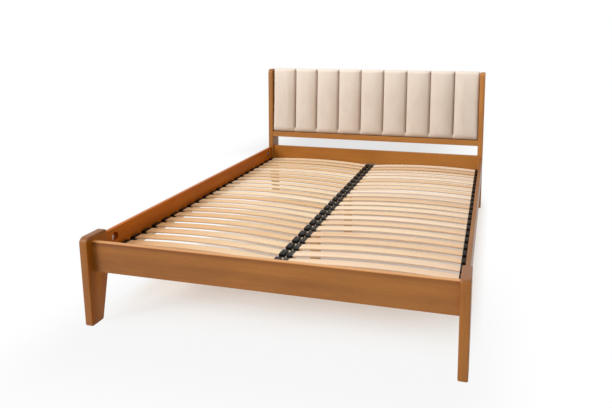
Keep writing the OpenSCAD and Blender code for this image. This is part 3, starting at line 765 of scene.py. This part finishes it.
for i, middle in enumerate(row_middle, 1):
    slats = copy_of(slat_row, f"slats_{i:02d}", (0, middle, 0))
    edit(slats)
    bpy.ops.mesh.select_all(action="SELECT")
    bpy.ops.transform.resize(value=(1, 1, random.uniform(FLATTEST, HIGHEST)),
                             center_override=chord_middle)
    seat(slats, birch.material, [f"slat_pair_{i:02d}"])
bpy.data.objects.remove(slat_row)

# %% [markdown]
# ## The end caps
# Each slat end sits in a black plastic cap with a peg that goes into the batten or the beam.
# The cap is a soft cornered pocket with a thin collar round its mouth. One cap is modelled
# with its closed end towards the rail or towards the middle of the bed, and an Array modifier
# repeats it along the row, since the rows have one pitch.

# %% Model a cap and its row
CAP_D, CAP_H, CAP_L = 0.058, 0.016, 0.025
CAP_END_R, CAP_SIDE_R, NEAR_TOP, CAP_ARRIS = 0.0045, 0.0042, 0.006, 0.0007
COLLAR_L, COLLAR_WIDER, COLLAR_HIGHER = 0.0022, 1.035, 1.06
WALL, POCKET = 0.0026, 0.006


def cap_row(name, node, closed_x, mouth_way, foot):
    """Caps on wood at height foot, from their closed end at closed_x towards +x or -x."""
    y = row_middle[0]
    top = foot + CAP_H
    mouth_x = closed_x + mouth_way * CAP_L
    ends = sorted((closed_x, mouth_x))
    cap = block(name, (ends[0], y - CAP_D / 2, foot), (ends[1], y + CAP_D / 2, top))
    edit(cap)
    round_edges(cap, CAP_END_R, 3, lambda p: p.z > top - SNAP and abs(p.x - closed_x) < SNAP)
    for side in (-1, 1):
        round_edges(cap, CAP_SIDE_R, 3, lambda p: (
            p.z > top - NEAR_TOP and side * (p.y - y) > CAP_D / 2 - SNAP))
    pick(cap, "faces", lambda p: abs(p.x - mouth_x) < SNAP)
    bpy.ops.mesh.extrude_region_shrink_fatten(TRANSFORM_OT_shrink_fatten={"value": 0.0})
    bpy.ops.transform.resize(value=(1, COLLAR_WIDER, COLLAR_HIGHER),
                             center_override=(mouth_x, y, foot))
    bpy.ops.mesh.extrude_region_move(
        TRANSFORM_OT_translate={"value": (mouth_way * COLLAR_L, 0, 0)})
    bpy.ops.mesh.inset(thickness=WALL)
    bpy.ops.mesh.extrude_region_move(
        TRANSFORM_OT_translate={"value": (-mouth_way * POCKET, 0, 0)})
    ease(cap, CAP_ARRIS, 2)
    repeat(cap, SLAT_ROWS, (0, PITCH, 0))
    seat(cap, cap_plastic, [node])


# %% Set the four rows of caps
HALF_GAP, CAP_FIT = 0.005, 0.0003
batten_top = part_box("slat_batten_left")[1].z
beam_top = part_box("middle_beam")[1].z
side_x = -side_rail_high.x - CAP_FIT
cap_row("caps_middle_right", "middle_caps_right", HALF_GAP, 1, beam_top)
cap_row("caps_middle_left", "middle_caps_left", -HALF_GAP, -1, beam_top)
cap_row("caps_side_right", "side_caps_right", side_x, -1, batten_top)
cap_row("caps_side_left", "side_caps_left", -side_x, 1, batten_top)

# %% [markdown]
# ## The headboard's padding
# The padding is foam under velour, sewn into nine upright channels. Fabric pulled down at a
# seam and pushed out by foam takes a shape that is hard to draw and easy to simulate. So the
# padding starts as a slightly thin block, is remeshed to even faces, and gets its channels
# roughly by formula. Then the seams are pinned and cloth with a pressure inside fills out.
# A cap on the travel keeps it near its real thickness, and the travel is evened out between
# neighbours, because velour on foam is too thick to crinkle. The headboard leans back, so the
# work is done upright in the board's own frame, and the result is turned at the end.

# %% The headboard's frame
LEAN = math.radians(4.8)
BOARD_FOOT = Vector((0, 0.97827, 0.480))
HALF_W = 0.7925
PAD_BACK, PAD_SEAM, PAD_CROWN = 0.0327, 0.0125, -0.0075
PAD_FOOT, PAD_TOP, PANEL_TOP, PANEL_BACK = 0.0403, 0.5395, 0.5252, 0.0450
CHANNELS, OUTER_EXTRA = 9, 0.0055
channel_w = (2 * HALF_W - 2 * OUTER_EXTRA) / CHANNELS
seams = [-HALF_W + OUTER_EXTRA + i * channel_w for i in range(1, CHANNELS)]
print("seams", [round(s, 3) for s in seams])


def to_room(piece):
    """Leans a piece from the board's frame to its real place."""
    only(piece)
    piece.rotation_euler = (-LEAN, 0, 0)
    piece.location = BOARD_FOOT
    apply_place()


# %% Remesh a block to even faces
VOXEL = 0.008
SIDE_GAP, TOP_GAP, OVERLAP = 0.001, 0.002, 0.006
pad = block("headboard_padding", (-HALF_W + SIDE_GAP, PAD_SEAM, PAD_FOOT),
            (HALF_W - SIDE_GAP, PAD_BACK, PAD_TOP - TOP_GAP))
cap_over = block("pad_over_panel", (-HALF_W + SIDE_GAP, PAD_BACK - OVERLAP, PANEL_TOP),
                 (HALF_W - SIDE_GAP, PANEL_BACK, PAD_TOP - TOP_GAP))
only(pad)
cap_over.select_set(True)
bpy.ops.object.join()
modify(pad, "REMESH", mode="VOXEL", voxel_size=VOXEL, adaptivity=0.0)
print("padding remeshed to", len(pad.data.vertices), "points")

# %% How full the padding is
SEAM_POWER, SIDE_POWER = 2.3, 14


def fullness(x):
    """How full the padding is at x: 0 on a seam, 1 on a crown; and the nearest seam."""
    edges = [-HALF_W] + seams + [HALF_W]
    for left, right in zip(edges, edges[1:]):
        if x <= right:
            break
    s = (2 * x - left - right) / (right - left)
    nearest = left if s < 0 else right
    power = SEAM_POWER if nearest in seams else SIDE_POWER
    return max(0.0, 1 - abs(s) ** power) ** 0.5, nearest


def round_in(share):
    """A quarter circle: 0 at 0, steep first, level at 1."""
    return math.sqrt(max(0.0, 1 - (1 - min(1.0, share)) ** 2))


print("fullness beside a seam", round(fullness(seams[0] + 0.01)[0], 2))

# %% Shape the channels and pin the seams
FADE_FOOT, FADE_TOP = 0.028, 0.020
ROLL_FOOT, ROLL_TOP, FLAT_SHARE = 0.034, 0.030, 0.35
BACK_PINNED, TOP_PINNED, FOOT_PINNED, TOP_FROM = 0.007, 0.009, 0.002, 0.022
START_FULL, END_FULL, FRONT_SHARE = 0.86, 0.7, 0.9
TOP_SKIN = 0.004
pins = pad.vertex_groups.new(name="pins")
points = pad.data.vertices
for v in points:
    x, u, up = v.co
    over_panel = up > PANEL_TOP + TOP_PINNED and u > TOP_FROM
    if u > PAD_BACK - BACK_PINNED or over_panel or up < PAD_FOOT + FOOT_PINNED:
        pins.add([v.index], 1.0, "REPLACE")
        continue
    full, seam = fullness(x)
    roll = round_in((up - PAD_FOOT) / ROLL_FOOT) * round_in((PAD_TOP - up) / ROLL_TOP)
    fade = min(1.0, (up - PAD_FOOT) / FADE_FOOT, (PAD_TOP - TOP_SKIN - up) / FADE_TOP)
    share = (PAD_BACK - u) / (PAD_BACK - PAD_SEAM)
    lift = full * START_FULL + (1 - full) * (1 - max(0.0, fade)) * END_FULL
    thick = PAD_BACK - PAD_SEAM + (PAD_SEAM - PAD_CROWN) * lift
    v.co.y = PAD_BACK - share * thick * (FLAT_SHARE + (1 - FLAT_SHARE) * roll)
    on_seam = abs(x - seam) <= VOXEL * 0.5 and share > FRONT_SHARE
    if on_seam and fade >= 1 and seam in seams:
        v.co.x = seam
        pins.add([v.index], 1.0, "REPLACE")
start_shape = [v.co.copy() for v in points]
print(CHANNELS, "channels roughed out")

# %% Let the cloth fill out
CLOTH = {"quality": 6, "mass": 0.3, "tension_stiffness": 20, "compression_stiffness": 20,
         "shear_stiffness": 12, "bending_stiffness": 6, "shrink_min": -0.004,
         "use_pressure": True, "uniform_pressure_force": 3, "vertex_group_mass": "pins"}
CLOTH_FRAMES = 20
cloth = pad.modifiers.new("cloth", "CLOTH")
for name, value in CLOTH.items():
    setattr(cloth.settings, name, value)
cloth.settings.effector_weights.gravity = 0
cloth.collision_settings.use_collision = False
scene = bpy.context.scene
scene.frame_start, scene.frame_end = 1, CLOTH_FRAMES
for step in range(1, CLOTH_FRAMES + 1):
    scene.frame_set(step)
only(pad)
bpy.ops.object.modifier_apply(modifier="cloth")
scene.frame_set(1)
points = pad.data.vertices
moves = [v.co - was for v, was in zip(points, start_shape)]
print("cloth moved up to", round(max(move.length for move in moves) * 1000, 1), "mm")

# %% Even out the travel and cap it
TRAVEL, EVENINGS = 0.005, 8
CROWN_SPARE, TOP_SPARE = 0.003, 0.001
beside = [[i] for i in range(len(points))]
for line in pad.data.edges:
    a, b = line.vertices
    beside[a].append(b)
    beside[b].append(a)
for _ in range(EVENINGS):
    moves = [sum((moves[j] for j in near), Vector()) / len(near) for near in beside]
for v, was, move in zip(points, start_shape, moves):
    v.co = was + move * min(1.0, TRAVEL / max(move.length, 0.000001))
    v.co.x = max(-HALF_W, min(HALF_W, v.co.x))
    v.co.y = max(PAD_CROWN - CROWN_SPARE, v.co.y)
    v.co.z = min(PAD_TOP + TOP_SPARE, v.co.z)
print("travel kept to", TRAVEL * 1000, "mm")

# %% Sew the seams in and smooth the padding
CREASE_W, CREASE_DEPTH, CREASE_BACK = 0.016, 0.015, 0.024
CREASE_FROM, CREASE_TO = PAD_FOOT + 0.018, PAD_TOP - 0.008
CREASE_CUTS = (0.0012, 0.003, 0.006, 0.010, CREASE_W)
modify(pad, "SUBSURF", levels=1, render_levels=1)
edit(pad)
for seam in seams:
    for aside in sorted((0.0, *CREASE_CUTS, *(-c for c in CREASE_CUTS))):
        cut((seam + aside, 0, 0), ALONG_X)
rest()
for v in pad.data.vertices:
    x, u, up = v.co
    away = min(abs(x - s) for s in seams)
    fade = min(1.0, max(0.0, (up - CREASE_FROM) / FADE_FOOT),
               max(0.0, (CREASE_TO - up) / FADE_TOP))
    if u < CREASE_BACK and away < CREASE_W:
        v.co.y += CREASE_DEPTH * fade * (1 - away / CREASE_W) ** 1.6
only(pad)
bpy.ops.object.shade_smooth()
to_room(pad)
print("padding", len(pad.data.polygons), "faces,", len(seams), "seams")

# %% [markdown]
# ## Velour
# Velour is a short pile. From a step away it is a soft, slightly mottled beige, with a sheen at
# grazing angles. The mottling is broad noise drawn out along the channels, and the pile itself
# is a very fine bump. Light and shade are painted on the round shapes too: a painted highlight
# on each channel's left slope and painted shade on its right one, painted light along the
# padding's top, painted shade along its foot, and a painted highlight on its outer edges. In the
# folds at the seams, painted shade makes it darker still. The seams have one pitch, so a point's
# place in its channel is worked out from x.

# %% Weave the pile
velour = Finish("beige_velour", Roughness=0.9, Specular_IOR_Level=0.15, Sheen_Weight=0.25,
                Sheen_Roughness=0.45)
brushed = velour.noise(velour.places((1, 1, 0.5)), 16, 4, 0.55, 0.4)
nap = velour.noise(velour.places((1, 1, 0.7)), 420, 3, 0.65)
thread = velour.noise(velour.places(), 1500, 2, 0.6)
tone = velour.blend(brushed.ramp(0.3, 0.7), linear(207, 191, 176), linear(211, 197, 183))
tone = velour.blend(nap.ramp(0.5, 0.75) * 0.25, tone, linear(190, 172, 155))
velour.bump(nap * 0.6 + thread * 0.4, 0.0003, 0.5)
print("pile of", len(velour.tree.nodes), "shader nodes")

# %% Paint light and shade on the channels, the top and the foot
pad_low, pad_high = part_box("headboard_pad")
cloth_x, _, cloth_z = velour.axes(velour.places())
place = cloth_x / channel_w + 0.5
across = place - place.floor()
# Painted shade on the right slope of each channel but the last, and a painted highlight on the left
# slope.
right_slope_shade = across.ramp(0.35, 1.0) * cloth_x.below(seams[-1])
left_slope_light = across.ramp(0.04, 0.35, 1, 0)
tone = velour.blend(right_slope_shade * right_slope_shade * 0.42, tone, linear(172, 148, 126))
tone = velour.blend(left_slope_light * 0.28, tone, linear(222, 208, 195))
# Painted light along the top, and painted shade along the foot.
tone = velour.blend(cloth_z.ramp(0.74, pad_high.z) * 0.4, tone, linear(226, 213, 200))
tone = velour.blend(cloth_z.ramp(pad_high.z - 0.03, pad_high.z - 0.005) * 0.45, tone,
                    linear(236, 225, 212))
tone = velour.blend(cloth_z.ramp(pad_low.z + 0.005, pad_low.z + 0.055, 1, 0) * 0.45, tone,
                    linear(170, 146, 122))
print("channels", round(channel_w, 4), "m wide")

# %% Paint shade in the folds and light on the outer edges
FOLD_FOOT, FOLD_IN = 0.545, 0.03
from_seam = (0.5 - abs(across - 0.5)) * channel_w
# Painted shade in the folds at the seams, kept away from the outer sides.
fold_shade = from_seam.ramp(0.0004, 0.0055, 1, 0) * (cloth_z - FOLD_FOOT).ramp(0, 0.012)
fold_shade = fold_shade * abs(cloth_x).below(HALF_W - FOLD_IN)
# A painted highlight along the padding's outer edges.
outer_edge_light = abs(cloth_x).ramp(HALF_W - 0.014, HALF_W - 0.002)
tone = velour.blend(fold_shade * 0.75, tone, linear(118, 88, 66))
tone = velour.blend(outer_edge_light * 0.6, tone, linear(236, 222, 208))
velour.feed("Base Color", tone)
seat(pad, velour.material, ["headboard_pad"])

# %% [markdown]
# ## The hem and its staples
# Behind the headboard the velour is pulled over the top rail and stapled. The hem is a strip
# that runs over the rail and down its back. It is a plane, subdivided, laid over the rail by
# moving its points, and given the cloth's thickness. Between the staples its lower edge waves
# a little. The staples are short bent wires.

# %% Model the hem
HEM_W, HEM_L, CLOTH_T = 1.570, 0.063, 0.0012
HEM_PATH = ((0.0440, 0.5382), (0.0520, 0.5330), (0.0590, 0.5262), (0.0636, 0.5195),
            (0.0640, 0.5090), (0.0640, 0.4985), (0.0640, 0.4890))
HEM_STEPS, WAVES = len(HEM_PATH) - 1, 60
WAVE_OUT, WAVE_UP, STRAIGHT_STEPS = 0.0006, 0.0022, 4
rest()
bpy.ops.mesh.primitive_grid_add(x_subdivisions=157, y_subdivisions=HEM_STEPS, size=1,
                                location=(0, 0, 0))
hem = bpy.context.active_object
hem.name = hem.data.name = "velour_hem"
random.seed(9)
wobble = [random.uniform(-1, 1) for _ in range(WAVES)]
for v in hem.data.vertices:
    along = v.co.x + 0.5
    step = round((0.5 - v.co.y) * HEM_STEPS)
    u, up = HEM_PATH[step]
    wave, part = divmod(along * (WAVES - 1), 1)
    after = min(WAVES - 1, int(wave) + 1)
    mix = wobble[int(wave)] * (1 - part) + wobble[after] * part
    v.co = ((along - 0.5) * HEM_W, u + WAVE_OUT * step * (1 + mix) / HEM_STEPS,
            up + mix * WAVE_UP * (step > STRAIGHT_STEPS))
modify(hem, "SOLIDIFY", thickness=CLOTH_T, offset=1)
edit(hem)
face_out()
only(hem)
bpy.ops.object.shade_smooth()
to_room(hem)
seat(hem, velour.material)

# %% Model the staples
STAPLES, STAPLE_STEP, WIRE_ARRIS = 40, 0.0392, 0.0003
staple = block("staples", (-0.7705, 0.0655, 0.5035), (-0.7605, 0.0661, 0.5047))
ease(staple, WIRE_ARRIS, 2)
repeat(staple, STAPLES, (STAPLE_STEP, 0, 0))
to_room(staple)
seat(staple, zinc.material)

# %% [markdown]
# ## The floor
# The bed stands on white paper that fades into a white background, and keeps its shadow there.
# Under the bed the camera sees mostly real light and shade, with a painted warm shade that
# stands for the light the wood throws on the floor, deeper towards the middle. Outside it plain
# white takes over, so no horizon shows. The floor also has a painted light grey shade in front
# of the bed and far behind the headboard, as in the photograph. Each of these is a patch with
# soft edges.

# %% Lay the floor
bpy.ops.mesh.primitive_plane_add(size=60, location=(0, 0, 0))
floor = bpy.context.active_object
floor.name = "studio_floor"
paper = Finish("studio_paper", Roughness=0.9, Specular_IOR_Level=0.1,
               Base_Color=(0.86, 0.86, 0.86, 1))
paper_x, paper_y, _ = paper.axes(paper.places())


def soft_patch(front, back, half_w, fades, middle=0.0):
    """1 in a patch of the floor, and down to 0 over its front, back and side fades."""
    front_fade, back_fade, side_fade = fades
    return ((paper_y - front).ramp(0.0, front_fade) * (back - paper_y).ramp(0.0, back_fade)
            * (half_w - abs(paper_x - middle)).ramp(0.0, side_fade))


under_bed = soft_patch(paper_x * 0.07 - 1.06, 1.5, 0.9, (0.72, 0.5, 0.16))
deep_under = soft_patch(-0.9, 1.3, 0.85, (0.6, 0.5, 0.4))
before_bed = soft_patch(-1.9, 0.2, 1.15, (0.8, 1.0, 0.4))
far_behind = soft_patch(2.0, 5.5, 1.5, (0.6, 1.0, 0.9), middle=-0.55)
print("floor laid, with 4 soft patches")


# %% Colour the floor where it is looked at
def looked_at(nodes):
    """1 for what is seen, straight, in a gloss or through glass, and 0 for light."""
    path = nodes.add("ShaderNodeLightPath").socket.node
    straight, shiny, through = (Wire(nodes, path.outputs[kind]) for kind in (
        "Is Camera Ray", "Is Glossy Ray", "Is Transmission Ray"))
    return straight.most(shiny).most(through)


# Painted shade in the floor's seen colour: light grey in front of the bed, warm under it, deeper in
# the middle, and light grey far behind the headboard.
cast = paper.blend(before_bed, (1, 1, 1, 1), (0.925, 0.925, 0.925, 1))
cast = paper.blend(under_bed, cast, (0.90, 0.80, 0.70, 1))
cast = paper.blend(deep_under, cast, (0.64, 0.50, 0.44, 1))
cast = paper.blend(far_behind, cast, (0.77, 0.765, 0.76, 1))
white = paper.add("ShaderNodeEmission", {}, {"Color": cast, "Strength": 1.0})
mixed = paper.add("ShaderNodeMixShader", {}, {
    0: looked_at(paper) * (1 - under_bed * 0.7),
    1: Wire(paper, paper.shader.outputs[0]), 2: white})
paper.join(mixed, paper.tree.nodes["Material Output"].inputs["Surface"])
cover(floor, paper.material)
print("floor coloured with", len(paper.tree.nodes), "shader nodes")

# %% [markdown]
# ## The light
# In the photograph every channel of the headboard is bright on its left and darker on its
# right, and the rail at the left is darker inside than the rail in front. So the main light is
# a large soft box high on the left, in front of the bed. A lamp overhead and a bright world
# soften the shadows. The world is white where it is seen, straight or in a reflection, and
# gives only a part of that as light.

# %% Light the world
WORLD_LIGHT = 0.37
room = bpy.data.worlds.new("white_room")
bpy.context.scene.world = room
room.use_nodes = True
air = Nodes(room.node_tree)
sky = room.node_tree.nodes["Background"]
air.join(looked_at(air) * (1 - WORLD_LIGHT) + WORLD_LIGHT, sky.inputs["Strength"])
air.join((1, 1, 1, 1), sky.inputs["Color"])
print("world gives", WORLD_LIGHT, "of full light")


# %% Hang the lamps
def lamp(name, place, aim, size, power):
    data = bpy.data.lights.new(name, "AREA")
    data.shape, data.size, data.size_y, data.energy = "RECTANGLE", size[0], size[1], power
    light = bpy.data.objects.new(name, data)
    bpy.context.scene.collection.objects.link(light)
    light.location = place
    light.rotation_euler = (Vector(aim) - Vector(place)).to_track_quat("-Z", "Y").to_euler()
    print(name, power, "W")


lamp("overhead_lamp", place=(0.2, -0.1, 3.2), aim=(0.2, 0.5, 0.3), size=(3.0, 2.6), power=44)
lamp("left_soft_box", place=(-6.0, -5.8, 4.6), aim=(0, 0, 0.4), size=(3.6, 3.6), power=620)
bpy.context.scene.view_settings.view_transform = "Standard"
